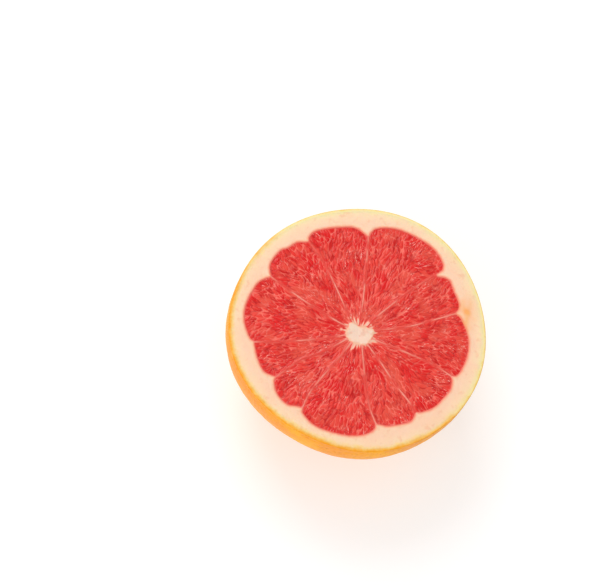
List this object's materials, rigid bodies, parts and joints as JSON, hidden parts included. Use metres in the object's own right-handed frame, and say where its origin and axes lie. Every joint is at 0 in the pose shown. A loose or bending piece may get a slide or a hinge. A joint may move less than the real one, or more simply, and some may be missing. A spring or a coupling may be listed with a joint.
{
  "type": "grapefruit half",
  "caption": "Half of a pink grapefruit with rind, pith, segments and core on its cut face, lying on its round side with the cut face up.",
  "frame": {"origin": "middle of the small flat spot that the half rests on, at the blossom end of the fruit's axis", "axes": "+Z along the fruit's axis from the blossom end to the cut face, +X and +Y in the plane of the cut"},
  "size_m": [0.1085, 0.1068, 0.0518],
  "materials": {
    "rind": "waxy skin with fine pores",
    "pith": "matt and spongy, freshly cut",
    "pulp": "wet and translucent, freshly cut"
  },
  "bodies": {
    "root": {"grapefruit_half": "rind"}
  },
  "joints": []
}
